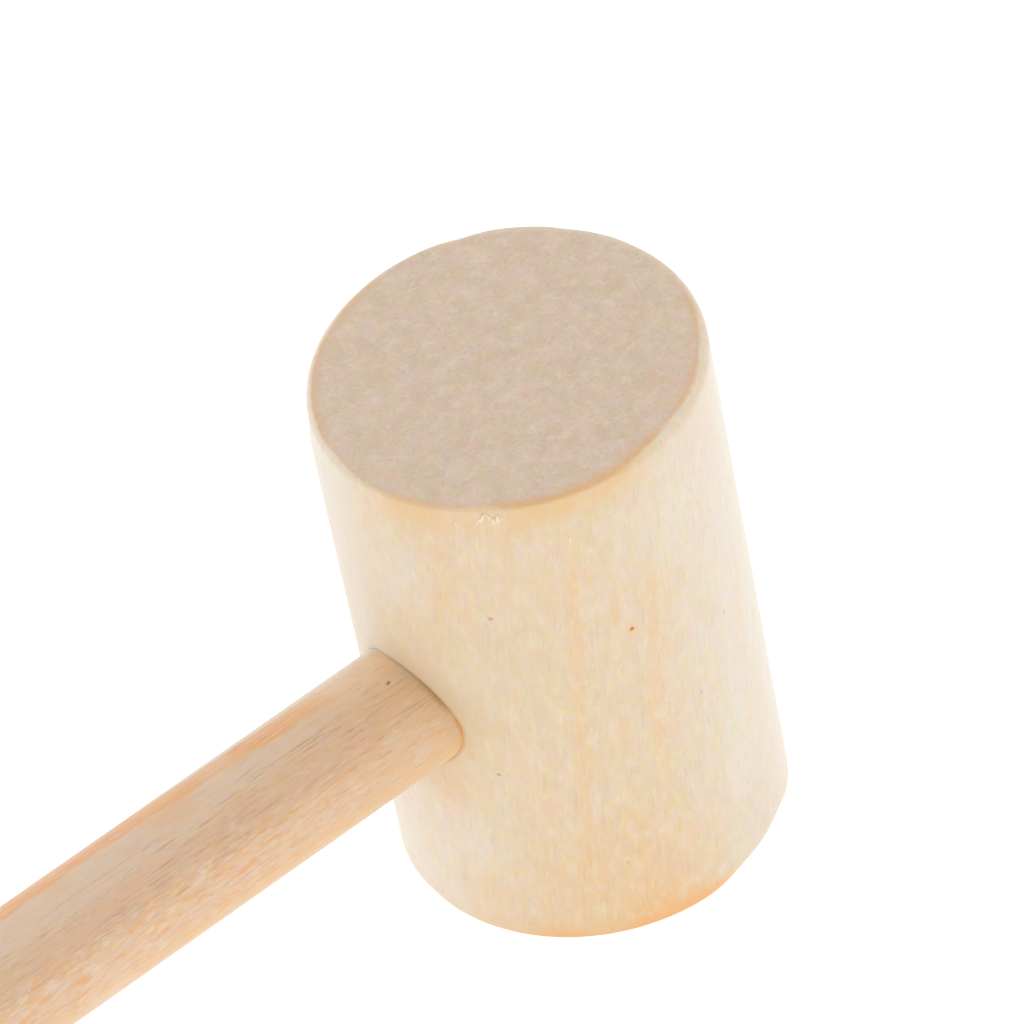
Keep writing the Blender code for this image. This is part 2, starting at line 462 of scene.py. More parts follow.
def head_side(w, along, wander, from_pith):
    """Mottled cream wood, warmer at the front, and the pattern of its fibres. The cream either side of the
    front is partly wood and partly painted sheen.
    """
    towards_front = w.vector("DOT_PRODUCT", w.mm, tuple(FRONT))
    front = w.step(w.add(towards_front, w.times(wander, 0.8)), 14.0, 19.4)
    sideways = w.vector("DOT_PRODUCT", w.mm, (FRONT.y, -FRONT.x, 0.0))
    # The cream either side is paler than the front partly as painted sheen.
    side = w.mix(w.step(sideways, -16.0, 16.0), CREAM_SHADE, CREAM_LIGHT)
    side = w.mix(front, side, HEARTWOOD)
    side = w.dapple(side, w.noise(along, (0.16, 0.16, 0.07)), 0.4, 0.62, 0.5, PEACH)

    gx, gy, _ = w.split(along)
    flat_grain = w.join(gx, gy, 0.0)
    for degrees, width, low, high, strength in HEAD_STREAKS:
        off = w.vector("DISTANCE", flat_grain, tuple(compass(degrees) * HEAD_R_MM))
        length = w.times(w.step(w.z, low, low + STREAK_FADE), w.step(w.z, high, high - STREAK_FADE))
        streak = w.times(w.step(off, width * 1.5, width * 0.2), length, strength)
        side = w.mix(streak, side, STREAK)
    side = w.paint(side, LATE_WOOD, w.growth_rings(from_pith, 3.6, 0.3), 0.14)
    side = w.patches(side, HEAD_RUBS_AND_SHADE, RUB_CORE)

    side = w.dapple(side, w.noise(w.mm, (0.8, 0.8, 0.42), 4.0, 0.62), 0.42, 0.72, 0.5, CREAM_BLOTCH)
    blotch = w.noise(w.moved((17.0, 5.0, 9.0)), (1.05, 1.05, 0.6), 4.0, 0.62)
    side = w.dapple(side, blotch, 0.5, 0.72, 0.6, PINK_BLOTCH)
    side = w.dapple(side, blotch, 0.5, 0.28, 0.6, YELLOW_BLOTCH)
    fibres = w.noise(along, (2.6, 2.6, 0.26), 4.0, 0.65)
    side = w.shade(side, w.step(fibres, 0.5, 0.28), 0.915)
    side = w.dapple(side, w.noise(along, (3.4, 3.4, 0.8), 2.0, 0.55), 0.68, 0.76, 0.4, DARK_FLECK)
    pale = w.noise(w.vector("ADD", along, (5.0, 23.0, 3.0)), (1.9, 1.9, 0.5))
    side = w.dapple(side, pale, 0.55, 0.8, 0.42, PALE_FLECK)
    side = w.tinted(side, (0.85, 0.85, 0.6), (0.17, 0.15, 0.98))
    return w.patches(side, HEAD_SPOTS, SPOT_CORE), fibres


def face_scratches(w):
    """1 on the light scratches that cross the striking faces every way."""
    scratches = 0.0
    for degrees in END_SCRATCHES:
        line = w.noise(w.turned(w.mm, (0.0, 0.0, degrees), (0.14, 2.1, 0.0)), 1.0, 2.0, 0.5)
        scratches = w.add(scratches, w.step(line, 0.62, 0.82))
    return w.math("MINIMUM", scratches, 1.0)


def head_face(w, from_pith, scratches):
    """The felt of cut fibre ends on the striking faces, softly mottled and scratched."""
    end = w.mix(w.step(w.noise(w.mm, 0.3), 0.36, 0.64), FELT_TAN, FELT_PINK)
    speckle = w.noise(w.moved((3.0, 11.0, 0.0)), (0.75, 0.75, 0.75), 4.0, 0.68)
    end = w.dapple(end, speckle, 0.5, 0.68, 0.75, FELT_PALE)
    end = w.dapple(end, speckle, 0.48, 0.32, 0.75, FELT_WARM)
    end = w.tinted(end, (0.55, 0.55, 0.55), (0.3, 0.32, 0.66))
    felt = w.noise(w.mm, 2.4, 4.0, 0.7)
    end = w.shade(end, w.step(felt, 0.5, 0.3), 0.88)
    end = w.dapple(end, felt, 0.6, 0.74, 0.5, FELT_TIP)
    end = w.shade(end, w.times(w.growth_rings(from_pith, 3.1, 0.4), 0.35), 0.95)
    return w.paint(end, SCRATCH, scratches, 0.45)


def past_rim_line(w, radius, up, ragged):
    """How far a place is past the corner's rounding, towards the face's middle."""
    past = w.add(w.times(radius, -1.0), up, HEAD_R_MM - HEAD_HALF_MM - RIM / MM)
    for degrees, end, width, extra in RIM_KNOCKS:
        reach = 1.75 * HEAD_R_MM * math.radians(width)
        past = w.add(past, w.step(w.off(rim_point(degrees, end)), 0.0, reach, -extra / MM, 0.0))
    return w.add(past, w.times(ragged, 0.4))


def worn_corners(w, colour, radius, up, past_line, off_face, ragged):
    """An orange line where the striking face begins, a yellow bloom outside it, and scuffs."""
    worn = w.step(w.noise(w.mm, 0.2), 0.4, 0.6, 0.04, 0.24)
    for degrees, end, size, strength in RIM_WEAR:
        patch = w.step(w.off(rim_point(degrees, end)), size, size * 0.3, 0.0, strength)
        worn = w.math("MAXIMUM", worn, patch)
    uneven = w.noise(w.moved((2.0, 8.0, 1.0)), 0.9)

    bloom_side = w.vector("DOT_PRODUCT", w.mm, tuple(compass(BLOOM_CENTRE)))
    off_gap = w.off(rim_point(BLOOM_GAP, 1))
    share = w.times(w.step(bloom_side, 14.4, 17.0, 0.0, 0.85), w.step(off_gap, 2.0, 5.0, 0.35, 1.0))
    share = w.times(share, w.step(w.z, 10.0, 20.0, 0.4, 1.0))
    share = w.math("MAXIMUM", share, w.times(worn, 0.12))
    bloom = w.times(w.step(past_line, -4.4, -1.4), off_face, w.step(uneven, 0.34, 0.58, 0.6, 1.0))
    colour = w.paint(colour, BLOOM, bloom, share)

    outer = w.step(bloom_side, 14.4, 17.0, -0.45, -0.95)
    line = w.times(w.step(w.add(past_line, ragged), 1.15, 0.1), w.step(past_line, outer, -0.08))
    line = w.times(line, w.step(uneven, 0.64, 0.46, 0.6, 1.0))
    colour = w.paint(colour, RIM_LINE, line, worn, 0.95)

    off_corner = w.add(w.times(radius, -1.0), HEAD_R_MM, w.add(w.times(up, -1.0), HEAD_HALF_MM))
    scuffs = w.times(w.drift(w.mm, (0.9, 0.9, 0.4), 4.0, 0.65), 4.0)
    scuffed = w.step(w.add(off_corner, scuffs), 2.2, 0.5)
    scuffed = w.times(scuffed, w.step(w.z, HEAD_HALF_MM, HEAD_HALF_MM - 1.0))
    colour = w.paint(colour, SCUFF, scuffed, worn, 0.92)
    back = w.times(w.step(w.add(w.y, w.x), 8.0, 18.0), w.step(w.add(off_corner, ragged), 1.0, 0.3))
    return w.paint(colour, BACK_CORNER, back, 0.4)


def bore_mouth(w, colour):
    """Painted shade on the head round the handle: warm over and beside the joint, a dark line along its
    upper edge, and orange below.
    """
    y, z = w.add(w.y, -AXIS_Y_MM), w.add(w.z, -AXIS_Z_MM)
    around_bore = w.join(0.0, y, z)
    off_axis = w.vector("LENGTH", around_bore)
    neck = math.radians(NECK_CENTRE)
    towards_neck = w.vector("DOT_PRODUCT", around_bore, (0.0, -math.cos(neck), math.sin(neck)))
    thinned = w.step(w.math("DIVIDE", towards_neck, off_axis), NECK_EDGE, 1.0, 0.0, NECK_DEPTH / MM)
    thinned = w.times(thinned, w.step(w.x, 1.0, -1.0))
    off_wall = w.add(off_axis, thinned, -HANDLE_R_MM)

    above = w.times(w.step(z, -3.0, 3.0, 0.35, 1.0), w.step(y, 2.5, -1.0, 0.22, 1.0))
    # Painted warm shade over and beside the joint.
    warm_shade = w.step(off_wall, 5.5, 0.2, 0.0, WARM_SHADE_STRENGTH)
    colour = w.paint(colour, MOUTH_WARM_SHADE, warm_shade, above)

    rough_edge = w.add(off_wall, w.times(w.drift(w.mm, 2.2, 2.0, 0.6), 0.45))
    over = w.step(z, 1.0, 4.0)
    faded = w.times(over, w.step(y, 3.0, -0.5, 0.2, 1.0))
    shaded = w.step(rough_edge, 0.55, 0.1, 0.0, SHADE_STRENGTH)
    colour = w.paint(colour, MOUTH_SHADE, shaded, faded)
    # Orange painted shade along the lower front edge of the joint.
    under = w.times(w.inverse(over), w.step(y, -2.0, -4.0))
    orange_shade = w.step(rough_edge, 0.42, 0.1, 0.0, ORANGE_SHADE_STRENGTH)
    return w.paint(colour, MOUTH_ORANGE_SHADE, orange_shade, under)


def head_wood():
    """Pale wood with its grain along Z, and felted end grain on the striking faces."""
    w = Wood("head_wood")
    radius = w.vector("LENGTH", w.join(w.x, w.y, 0.0))
    up = w.math("ABSOLUTE", w.add(w.z, -HEAD_HALF_MM))

    # The grain's own coordinates lean a little and wander slowly.
    lean = w.times(w.add(w.z, -HEAD_HALF_MM), GRAIN_LEAN)
    along = w.vector("SUBTRACT", w.mm, w.join(w.times(lean, -FRONT.y), w.times(lean, FRONT.x), 0.0))
    wander = w.times(w.drift(along, (0.05, 0.05, 0.03), 2.0, 0.5), 5.0)
    along = w.vector("ADD", along, w.join(wander, wander, 0.0))
    gx, gy, _ = w.split(along)
    from_pith = w.vector("LENGTH", w.join(w.add(gx, HEAD_PITH[0]), w.add(gy, -HEAD_PITH[1]), 0.0))

    side, fibres = head_side(w, along, wander, from_pith)
    scratches = face_scratches(w)
    end = head_face(w, from_pith, scratches)
    ragged = w.times(w.drift(w.mm, 1.6), 0.9)
    past_line = past_rim_line(w, radius, up, ragged)
    on_face = w.step(past_line, -0.14, 0.1)
    colour = w.mix(on_face, side, end)
    colour = worn_corners(w, colour, radius, up, past_line, w.inverse(on_face), ragged)
    colour = bore_mouth(w, colour)

    side_bump = w.bump(w.noise(w.mm, (4.0, 4.0, 0.8), 4.0, 0.7), 0.28, 0.08)
    end_height = w.add(w.noise(w.mm, 3.0, 4.0, 0.75), w.times(scratches, 0.5))
    normal = w.mix(on_face, side_bump, w.bump(end_height, 0.45, 0.1))
    return w.finish(colour, w.step(fibres, 0.3, 0.7, 0.58, 0.72), normal, sheen=0.7)


# Dark marks on the handle: (start, end, half width, strength)
HANDLE_MARKS = (
    ((-22.27, -2.72, 34.72), (-22.01, -2.65, 34.77), 0.22, 0.9),
    ((-54.9, -5.7, 33.85), (-52.3, -5.7, 33.85), 0.07, 0.45),
    ((-56.6, -6.05, 33.35), (-53.3, -6.05, 33.35), 0.06, 0.4),
    ((-54.6, -5.35, 34.2), (-51.2, -5.35, 34.2), 0.06, 0.4),
    ((-58.4, -5.8, 33.72), (-55.6, -5.8, 33.72), 0.06, 0.35),
    ((-96.4, -4.2, 34.9), (-95.1, -4.2, 34.9), 0.2, 0.65),
    ((-121, 3.9, 32.9), (-119.2, 3.9, 32.9), 0.18, 0.6),
    ((-143.2, -2.2, 22.3), (-142.4, -2.2, 22.3), 0.24, 0.65),
)
# Soft patches on the handle: (place, radius, colour, strength)
HANDLE_RUBS = (
    ((-48, 1.5, 34.9), 5.5, (0.715, 0.375, 0.15), 0.72),
    ((-62, 1.9, 34.7), 4, (0.715, 0.375, 0.15), 0.66),
    ((-25, 2.6, 34.2), 6, (0.75, 0.63, 0.5), 0.5),
    ((-41, -0.1, 35.4), 3.5, (0.69, 0.51, 0.35), 0.45),
    ((-23.5, -7.8, 30.5), 4, (0.71, 0.51, 0.34), 0.45),
    ((-62, -7.6, 26.7), 6, (0.735, 0.56, 0.41), 0.45),
)
# Dashes and flecks, strongest where the handle's rays are cut across:
# (offset, scale, detail, roughness, low, high, strength in the rays, strength elsewhere, colour)
HANDLE_FLECKS = (
    ((0, 0, 0), (0.42, 1.9, 1.9), 4, 0.65, 0.49, 0.64, 0.8, 0.12, (0.735, 0.375, 0.15)),
    ((31, 7, 3), (0.5, 2, 2), 3, 0.6, 0.5, 0.68, 0.55, 0.12, (0.72, 0.58, 0.455)),
    ((7, 37, 13), (0.55, 2.1, 2.1), 3, 0.6, 0.54, 0.72, 0.6, 0.08, (0.78, 0.56, 0.255)),
)
GRAIN_TILT = math.radians(116.0)  # which way its growth rings face, from -Y over the top
BAND_TILT = (106.0, 116.5)  # where the orange ring lies, near the head and farther out, in degrees

# The handle's tones from the top down, and those near the head
TAN, ROSE_TAN = (0.618, 0.424, 0.262), (0.622, 0.412, 0.282)
PALE_TAN, WARM_TAN, GOLDEN = (0.64, 0.48, 0.352), (0.692, 0.478, 0.318), (0.712, 0.448, 0.222)
HONEY = (0.68, 0.44, 0.225)
# The far side near the head is paler partly as painted sheen.
CROWN, FAR_SIDE = (0.82, 0.575, 0.335), (0.735, 0.61, 0.47)
FOOT = (0.715, 0.36, 0.135)
# The orange ring, its dark and pale threads, and the pale wood beyond it, partly painted sheen towards the
# edge
RING, RING_DARK, RING_PALE = (0.715, 0.375, 0.15), (0.71, 0.265, 0.07), (0.735, 0.49, 0.29)
BEYOND_RING = (0.69, 0.56, 0.43)
ORANGE_MOTTLE, PALE_MOTTLE = (0.69, 0.41, 0.225), (0.66, 0.51, 0.37)
LINE_SHADE = (0.72, 0.64, 0.55)  # what the fine lines multiply the colour by
PORE = (0.47, 0.28, 0.13)
DARK_MARK = (0.22, 0.13, 0.04)
END_PITS, END_FELT, END_RINGS = (0.34, 0.22, 0.13), (0.5, 0.35, 0.22), (0.28, 0.16, 0.08)
# Painted shade where the handle enters the head
ENTRY_DIM, ENTRY_SHADE = (0.5, 0.32, 0.15), (0.43, 0.25, 0.08)
ENTRY_ORANGE_SHADE, ENTRY_AMBER_SHADE = (0.66, 0.29, 0.08), (0.79, 0.465, 0.135)


def handle_tones(w, y, z, plain, across, slow, ragged, near_head):
    """The zones from the top down: orange ring, pale, tan, mottled, yellow-orange."""
    patches = w.noise(w.mm, (0.06, 0.25, 0.25))
    colour = w.mix(w.step(patches, 0.38, 0.62), TAN, ROSE_TAN)
    colour = w.mix(w.step(across, 3.4, 5.2), colour, PALE_TAN)
    colour = w.mix(w.step(across, 1.6, -0.6), colour, WARM_TAN)
    colour = w.mix(w.step(across, -2.2, -4.4), colour, GOLDEN)
    colour = w.paint(colour, HONEY, near_head, 0.5)

    turn = w.math("ARCTAN2", z, w.times(y, -1.0))
    from_band = w.add(turn, w.step(w.x, -28.0, -56.0, *(-math.radians(a) for a in BAND_TILT)))
    # The pale wood past the ring is partly painted sheen, paler towards the edge.
    beyond = w.step(w.add(w.times(from_band, HANDLE_R_MM), w.times(ragged, 0.8)), 1.1, 1.7)
    colour = w.paint(colour, BEYOND_RING, beyond, 0.85)
    off_band = w.times(w.math("ABSOLUTE", from_band), HANDLE_R_MM)
    off_band = w.add(off_band, w.add(w.times(slow, 1.5), w.times(ragged, 1.3)))
    band = w.times(w.step(off_band, 1.6, 1.25), w.step(w.x, -22.0, -31.0, 0.15, 1.0))
    colour = w.paint(colour, RING, band, 0.9)
    threads = w.noise(w.mm, (0.2, 2.4, 2.4), 3.0, 0.65)
    colour = w.paint(colour, RING_DARK, band, w.step(threads, 0.48, 0.66), 0.8)
    colour = w.paint(colour, RING_PALE, band, w.step(threads, 0.42, 0.28), 0.5)

    crown = w.times(near_head, w.step(y, -2.0, 3.0), w.step(y, 4.0, 2.2))
    colour = w.paint(colour, CROWN, crown, 0.8)
    # Paler on the far side near the head, partly as painted sheen towards the edge.
    colour = w.paint(colour, FAR_SIDE, near_head, w.step(y, 2.4, 4.2), 0.85)
    colour = w.patches(colour, HANDLE_RUBS, RUB_CORE)
    return w.paint(colour, FOOT, w.step(plain, -6.2, -6.5), 0.7)


def handle_mottling(w, colour, across, near_head):
    """Soft mottling, then dashes and flecks where the rays are cut across."""
    mottle = w.noise(w.moved((9.0, 4.0, 2.0)), (0.5, 1.1, 1.1), 4.0, 0.65)
    colour = w.dapple(colour, mottle, 0.5, 0.7, 0.5, ORANGE_MOTTLE)
    colour = w.dapple(colour, mottle, 0.48, 0.28, 0.55, PALE_MOTTLE)
    wandering = w.tinted(colour, (0.5, 0.9, 0.9), (0.19, 0.17, 0.62))
    colour = w.paint(wandering, colour, near_head, 0.3)
    rays = w.times(w.step(across, 2.6, 0.6), w.step(across, -5.6, -2.6, 0.45, 1.0))
    rays = w.times(rays, w.step(w.x, -46.0, -26.0, 1.0, 0.5))
    for offset, scale, detail, rough, low, high, in_rays, elsewhere, tone in HANDLE_FLECKS:
        flecks = w.step(w.noise(w.moved(offset), scale, detail, rough), low, high)
        colour = w.paint(colour, tone, flecks, w.add(w.times(rays, in_rays), elsewhere))
    return colour


def handle_entry(w, colour, y, z):
    """Painted shade on the handle's way into the head: dim and dark next to the head, orange and
    yellow-orange below.
    """
    outside = w.add(w.vector("LENGTH", w.join(w.x, w.y, 0.0)), -HEAD_R_MM)
    entering = w.step(w.x, 0.0, -5.0)
    dim = w.times(w.step(outside, 2.2, 0.0), w.step(y, 2.0, -3.0, 0.05, 0.3))
    colour = w.paint(colour, ENTRY_DIM, dim, entering)
    top = w.times(w.step(z, 1.5, 4.0), w.step(y, -1.5, -5.0))
    shaded = w.step(outside, 0.7, 0.05, 0.0, 0.85)
    colour = w.paint(colour, ENTRY_SHADE, shaded, top, entering)
    # Orange and yellow-orange painted shade on the handle's lower side as it enters the head.
    orange_shade = w.times(w.step(z, 2.6, 0.6), w.step(outside, 0.45, 0.05))
    orange_shade = w.times(orange_shade, w.step(z, -4.6, -2.6, 0.35, 1.0))
    colour = w.paint(colour, ENTRY_ORANGE_SHADE, orange_shade, entering, 0.85)
    amber_shade = w.times(w.step(z, 0.5, -3.0), w.step(outside, 3.4, 0.4))
    return w.paint(colour, ENTRY_AMBER_SHADE, amber_shade, entering, 0.75)


def handle_wood():
    """Tan wood with straight grain along X. One growth ring shows along the top as an orange band."""
    w = Wood("handle_wood")
    y = w.add(w.y, -AXIS_Y_MM)
    z = w.add(w.z, -AXIS_Z_MM)
    plain = w.add(w.times(y, -math.cos(GRAIN_TILT)), w.times(z, math.sin(GRAIN_TILT)))
    slow = w.drift(w.mm, (0.035, 0.06, 0.06), 2.0, 0.5)
    ragged = w.drift(w.mm, (0.3, 1.6, 1.6), 4.0, 0.65)
    across = w.add(plain, w.add(w.times(slow, 0.9), w.times(ragged, 0.8)))
    near_head = w.step(w.x, -38.0, -20.0)
    colour = handle_tones(w, y, z, plain, across, slow, ragged, near_head)
    colour = handle_mottling(w, colour, across, near_head)

    # Fine dark lines and pores, most in the tan zone.
    tan = w.times(w.step(across, -0.8, 1.6), w.step(across, 6.0, 4.6))
    lines = w.noise(w.mm, (0.2, 3.4, 3.4), 5.0, 0.72)
    fine = w.times(w.step(lines, 0.49, 0.28), w.add(w.times(tan, 0.5), 0.5))
    colour = w.mix(fine, colour, LINE_SHADE, "MULTIPLY")
    pores = w.noise(w.moved((3.0, 19.0, 29.0)), (0.42, 6.0, 6.0))
    colour = w.paint(colour, PORE, w.step(pores, 0.39, 0.27), w.add(w.times(tan, 0.32), 0.12))
    for start, end, width, strength in HANDLE_MARKS:
        colour = w.dapple(colour, w.off_line(start, end), width, width * 0.2, strength, DARK_MARK)

    # End grain on the butt and on the flush end of the tenon.
    on_butt = w.step(w.x, BUTT_X_MM + 0.35, BUTT_X_MM + 0.08)
    on_end = w.math("MAXIMUM", on_butt, w.step(w.x, 10.0, 12.0))
    felt = w.noise(w.mm, 3.0, 4.0, 0.7)
    end = w.mix(w.step(felt, 0.32, 0.6), END_PITS, END_FELT)
    end = w.paint(end, END_RINGS, w.growth_rings(across, 1.9, 0.35), 0.5)
    colour = w.mix(on_end, colour, end)
    colour = handle_entry(w, colour, y, z)

    height = w.add(w.noise(w.mm, (0.45, 5.0, 5.0), 4.0, 0.7), w.times(w.step(pores, 0.36, 0.27), -0.4))
    normal = w.mix(on_end, w.bump(height, 0.32, 0.08), w.bump(felt, 0.45, 0.1))
    return w.finish(colour, w.step(lines, 0.3, 0.7, 0.5, 0.64), normal, sheen=0.4)


def wedge_wood():
    """Dark wedge wood. Its flush end shows, with the grain along X."""
    w = Wood("wedge_wood")
    felt = w.noise(w.mm, (1.2, 3.0, 5.0), 4.0, 0.7)
    colour = w.mix(w.step(felt, 0.32, 0.62), (0.17, 0.085, 0.04), (0.34, 0.19, 0.095))
    lines = w.noise(w.mm, (0.1, 1.4, 6.0))
    colour = w.shade(colour, w.step(lines, 0.48, 0.34), 0.75)
    return w.finish(colour, w.step(felt, 0.3, 0.7, 0.55, 0.68), w.bump(felt, 0.4, 0.08), sheen=0.15)


def bore_shade():
    """Painted shade for the bore and the tenon's side inside the head: dark wood colours, orange low in the
    gap, lighter towards +Y.
    """
    w = Wood("bore_shade")
    grain = w.noise(w.mm, (0.8, 1.2, 1.2), 4.0, 0.65)
    colour = w.mix(w.step(grain, 0.35, 0.65), (0.11, 0.07, 0.026), (0.33, 0.2, 0.08))
    # Orange painted shade low in the gap, and lighter painted shade towards +Y.
    low = w.step(w.add(w.z, w.times(grain, 3.0)), AXIS_Z_MM + 4.6, AXIS_Z_MM + 0.4)
    colour = w.mix(low, colour, (0.66, 0.29, 0.08))
    end = w.step(w.y, AXIS_Y_MM - 1.0, AXIS_Y_MM + 2.5)
    colour = w.paint(colour, (0.62, 0.44, 0.24), end, 0.8)
    return w.finish(colour, w.step(grain, 0.3, 0.7, 0.8, 0.92), w.bump(grain, 0.3, 0.05))


def torn_fibre():
    """The pale raw fibre that stands up from a rim."""
    w = Wood("torn_fibre")
    lines = w.noise(w.mm, (6.0, 6.0, 0.8))
    colour = w.mix(w.step(lines, 0.35, 0.65), (0.74, 0.65, 0.49), (0.8, 0.72, 0.57))
    return w.finish(colour, w.step(lines, 0.3, 0.7, 0.6, 0.75), w.bump(lines, 0.3, 0.05), sheen=0.3)


# ---- Head ----

HEAD_STEPS = 360
ARC_STEPS = 8  # in the rounding of a rim or of the butt
LEAST_ROUNDING = 0.1 * MM
END_WEAR_REACH = 6.0 * MM  # the side's wear starts this far from the end
HEAD_DIP = 0.014 * MM  # mean depth of the hollows that sanding leaves


def around(angle, centre, width):
    """1 where the angle is the centre, given in degrees, falling away over the width."""
    away = (math.degrees(angle) - centre + 180.0) % 360.0 - 180.0
    return math.exp(-((away / width) ** 2))


def necking(angle):
    """How much thinner the handle is at the mouth of the bore, at this angle from -Y over the top."""
    return NECK_DEPTH * smoothstep(NECK_EDGE, 1.0, math.cos(angle - math.radians(NECK_CENTRE)))


def rim_rounding(angle, end):
    """The rounding's radius at this angle round the upper (end 1) or lower (end -1) rim."""
    c, s = math.cos(angle), math.sin(angle)
    slow = 0.3 * fractal(1.6 * c, 1.6 * s, 3.0 * end)
    quick = 0.16 * fractal(9.0 * c, 9.0 * s, 5.0 * end)
    size = RIM * (1.0 + slow + quick)
    for degrees, which, width, extra in RIM_KNOCKS:
        if which == end:
            size += extra * around(angle, degrees, width)
    return max(size, LEAST_ROUNDING)


def side_wear(angle, end):
    """How deep the side has worn in at this angle, at the upper or lower end."""
    here = [(degrees, width, depth) for degrees, which, width, depth in END_WEAR if which == end]
    return sum(depth * around(angle, degrees, width) for degrees, width, depth in here)


def rounding_steps():
    """(sine, cosine) of each step from an end face to the side, without the first and the last."""
    turns = [math.pi / 2 * step / ARC_STEPS for step in range(1, ARC_STEPS)]
    return [(math.sin(turn), math.cos(turn)) for turn in turns]


def head_profile(radius, length):
    """(radius, height) from the middle of the top to the middle of the bottom."""
    upper = length / 2 - RIM
    inner = radius - RIM
    top = [(r, length / 2) for r in spaced(0.0, inner, 16)]
    arc = [(inner + RIM * s, upper + RIM * c) for s, c in rounding_steps()]
    side = [(radius, z) for z in spaced(upper, -upper, 72)]
    return top + arc + side + [(r, -z) for r, z in reversed(top + arc)]


def shape_head(builder, radius, length):
    """Gives the rims their uneven rounding and the rest the slight unevenness of sanded wood."""
    upper, inner = length / 2 - RIM, radius - RIM
    roundings = {}
    for vert in builder.verts:
        x, y, z = vert.co
        r = math.hypot(x, y)
        angle = math.atan2(y, x)
        end = 1 if z > 0 else -1
        key = (round(angle, 5), end)
        if key not in roundings:
            roundings[key] = rim_rounding(angle, end), side_wear(angle, end)
        size, wear = roundings[key]
        c, s = math.cos(angle), math.sin(angle)
        height = abs(z)
        if height > upper and r > inner:
            height = length / 2 - size + (height - upper) * size / RIM
            r = radius - size + (r - inner) * size / RIM
        elif r > inner:
            height *= (length / 2 - size) / upper
        else:
            r *= (radius - size) / inner
        share = r / radius
        r -= wear * share**4 * smoothstep(length / 2 - END_WEAR_REACH, length / 2, height)
        dip = HEAD_DIP * (1.0 + fractal(2.2 * c * share, 2.2 * s * share, 0.03 * z / MM))
        if height > length / 2 - size * 0.5:
            height -= dip
        else:
            r -= dip
        vert.co = (r * c, r * s, end * height)


BORE_STEPS = 180
BORE_END = HEAD_RADIUS + 1.5 * MM  # the cutter reaches this far either way
MOUTH_RINGS = [x * MM for x in spaced(17.6, 20.6, 31)]  # its close rings, where it meets the head's side
MOUTH_EASE = 0.02 * MM  # the mouth's edge is eased by about this much
HIDDEN_DEPTH = 0.03 * MM  # faces deeper in the head than this are hidden ones


def bore_cutter(radius):
    """A cylinder along the handle's axis that opens out a little where it meets the head's side."""
    far_rings = [-x for x in reversed(MOUTH_RINGS)]
    stations = [-BORE_END] + far_rings + spaced(-17.0 * MM, 17.0 * MM, 9) + MOUTH_RINGS + [BORE_END]
    profile = [(0.0, stations[0])] + [(radius, x) for x in stations] + [(0.0, stations[-1])]
    builder = spin_profile(profile, BORE_STEPS)
    builder.transform(Matrix.Rotation(math.pi / 2, 4, "Y"))
    for vert in builder.verts:
        x, y, z = vert.co
        r = math.hypot(y, z)
        if r > radius / 2:
            inside = HEAD_RADIUS - math.hypot(x, y + HANDLE_Y)
            ragged = 0.6 + 0.5 * fractal(3.0 * y / r, 3.0 * z / r, x / abs(x) if x else 0.0)
            ease = MOUTH_EASE * ragged * smoothstep(0.3 * MM, -0.05 * MM, inside)
            if x < 0:
                angle = math.atan2(z, -y)
                ease += BORE_SLACK * around(angle, SLACK_CENTRE, SLACK_SPREAD)
                ease -= necking(angle) * smoothstep(-12.0 * MM, -17.0 * MM, x)
            vert.co.y += y / r * ease
            vert.co.z += z / r * ease
    builder.transform(Matrix.Translation((0.0, HANDLE_Y, HANDLE_Z)))
    bmesh.ops.recalc_face_normals(builder, faces=builder.faces)
    return object_from(builder, "bore_cutter")


def shade_hidden(obj, inner_radius, x_limit):
    """Gives the painted shade material to the faces inside the head that face to or from the handle's axis.
    """
    obj.data.materials.append(bore_shade())
    for face in obj.data.polygons:
        place = face.center
        y, z = place.y - HANDLE_Y, place.z - HANDLE_Z
        off_axis = math.hypot(y, z)
        inside = math.hypot(place.x, place.y) < HEAD_RADIUS - HIDDEN_DEPTH and place.x < x_limit
        radial = abs(face.normal.y * y + face.normal.z * z) / off_axis
        if inside and off_axis < inner_radius and radial > 0.8:
            face.material_index = 1


def make_head():
    radius = HEAD_RADIUS - SKIN
    length = HEAD_LENGTH - 2 * SKIN
    builder = spin_profile(head_profile(radius, length), HEAD_STEPS)
    shape_head(builder, radius, length)
    builder.transform(Matrix.Translation((0.0, 0.0, HEAD_LOW.z + HEAD_LENGTH / 2)))
    head = object_from(builder, "mallet_head")
    cut(head, bore_cutter(HANDLE_RADIUS + BORE_GAP))
    dress(head, head_wood(), "head")
    shade_hidden(head, HANDLE_RADIUS + BORE_GAP + BORE_SLACK + 0.1 * MM, HEAD_RADIUS)


# ---- Torn fibres ----

